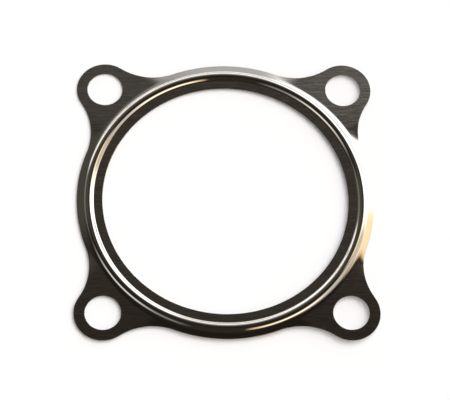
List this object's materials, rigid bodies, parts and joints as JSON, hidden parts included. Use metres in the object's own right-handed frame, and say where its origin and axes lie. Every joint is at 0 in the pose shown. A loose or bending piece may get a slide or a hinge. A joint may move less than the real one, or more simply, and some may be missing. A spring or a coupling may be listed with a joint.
{
  "type": "turbo downpipe gasket",
  "caption": "Pressed sheet gasket with a round opening, a raised ring-shaped sealing bead and bolt ears on the corners of a square.",
  "frame": {"origin": "centre of the round opening, on the flat underside of the sheet", "axes": "+Z through the opening, out of the side on which the bead stands proud; +X and +Y along the sides of the bolt square"},
  "size_m": [0.102, 0.102, 0.0013],
  "materials": {
    "stainless_sheet": "cold-rolled stainless sheet, fine straight rolling grain along X, brighter on the pressed bead"
  },
  "bodies": {
    "root": {"gasket": "stainless_sheet"}
  },
  "joints": []
}
